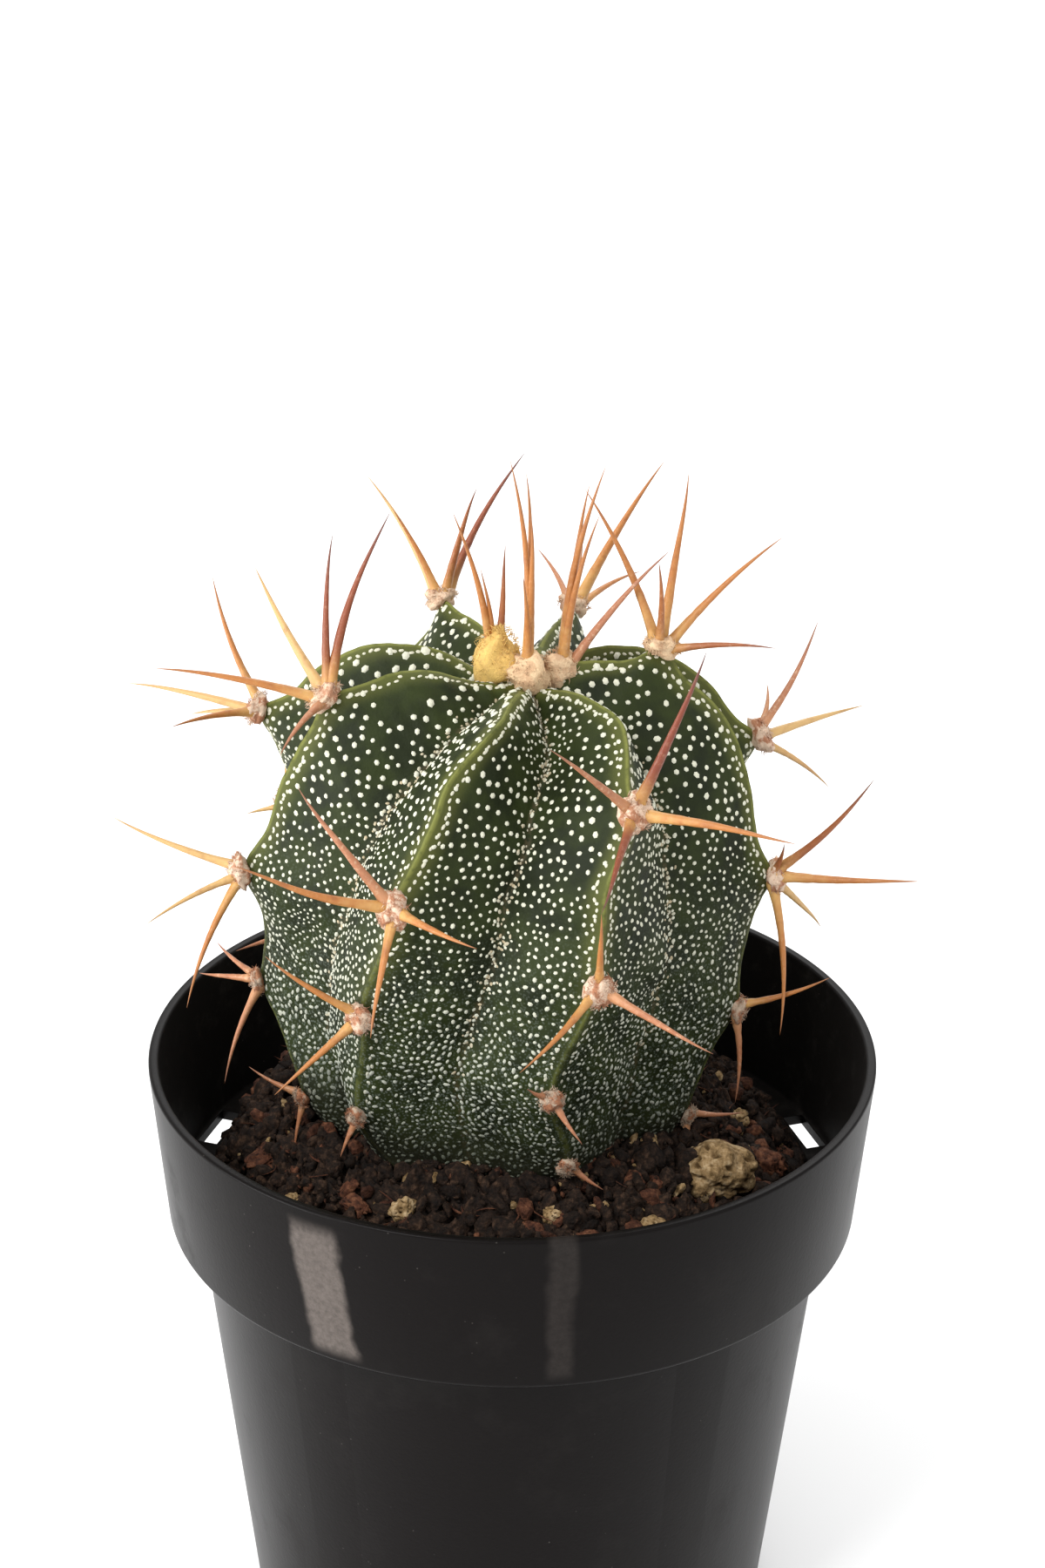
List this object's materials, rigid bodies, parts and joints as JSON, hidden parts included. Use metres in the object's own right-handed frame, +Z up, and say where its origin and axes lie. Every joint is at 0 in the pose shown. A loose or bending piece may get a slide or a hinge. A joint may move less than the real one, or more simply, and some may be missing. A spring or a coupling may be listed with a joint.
{
  "type": "potted monk's hood cactus",
  "caption": "Round ribbed cactus with speckled skin and long curved spines, standing in soil in a tapered plastic nursery pot with a wide collar.",
  "frame": {"origin": "centre of the pot's flat underside", "axes": "+Z up along the pot's axis, -Y towards the side that faces the viewer, +X to the viewer's right"},
  "size_m": [0.0983, 0.094, 0.1539],
  "materials": {
    "black_plastic": "satin",
    "stem_skin": "satin",
    "spine_cluster": "satin",
    "soil_mix": "matte",
    "mineral_grain": "matte",
    "bark": "matte"
  },
  "bodies": {
    "root": {"nursery_pot": "black_plastic", "cactus_stem": "stem_skin", "potting_soil": "soil_mix", "rib_1_spines_1": "spine_cluster", "rib_1_spines_2": "spine_cluster", "rib_1_spines_3": "spine_cluster", "rib_1_spines_4": "spine_cluster", "rib_2_spines_1": "spine_cluster", "rib_2_spines_2": "spine_cluster", "rib_2_spines_3": "spine_cluster", "rib_3_spines_1": "spine_cluster", "rib_3_spines_2": "spine_cluster", "rib_3_spines_3": "spine_cluster", "rib_3_spines_4": "spine_cluster", "rib_4_spines_1": "spine_cluster", "rib_4_spines_2": "spine_cluster", "rib_4_spines_3": "spine_cluster", "rib_4_spines_4": "spine_cluster", "rib_5_spines_1": "spine_cluster", "rib_5_spines_2": "spine_cluster", "rib_5_spines_3": "spine_cluster", "rib_6_spines_1": "spine_cluster", "rib_6_spines_2": "spine_cluster", "rib_6_spines_3": "spine_cluster", "rib_7_spines_1": "spine_cluster", "rib_7_spines_2": "spine_cluster", "rib_7_spines_3": "spine_cluster", "rib_7_spines_4": "spine_cluster", "rib_8_spines_1": "spine_cluster", "rib_8_spines_2": "spine_cluster", "rib_8_spines_3": "spine_cluster", "crown_tuft_left": "spine_cluster", "crown_tuft_middle": "spine_cluster", "crown_tuft_right": "spine_cluster", "vermiculite_chunk": "mineral_grain", "bark_chip": "bark", "perlite_grain_front": "mineral_grain", "perlite_grain_left": "mineral_grain", "perlite_grain_right": "mineral_grain", "perlite_grain_back": "mineral_grain"}
  },
  "joints": []
}
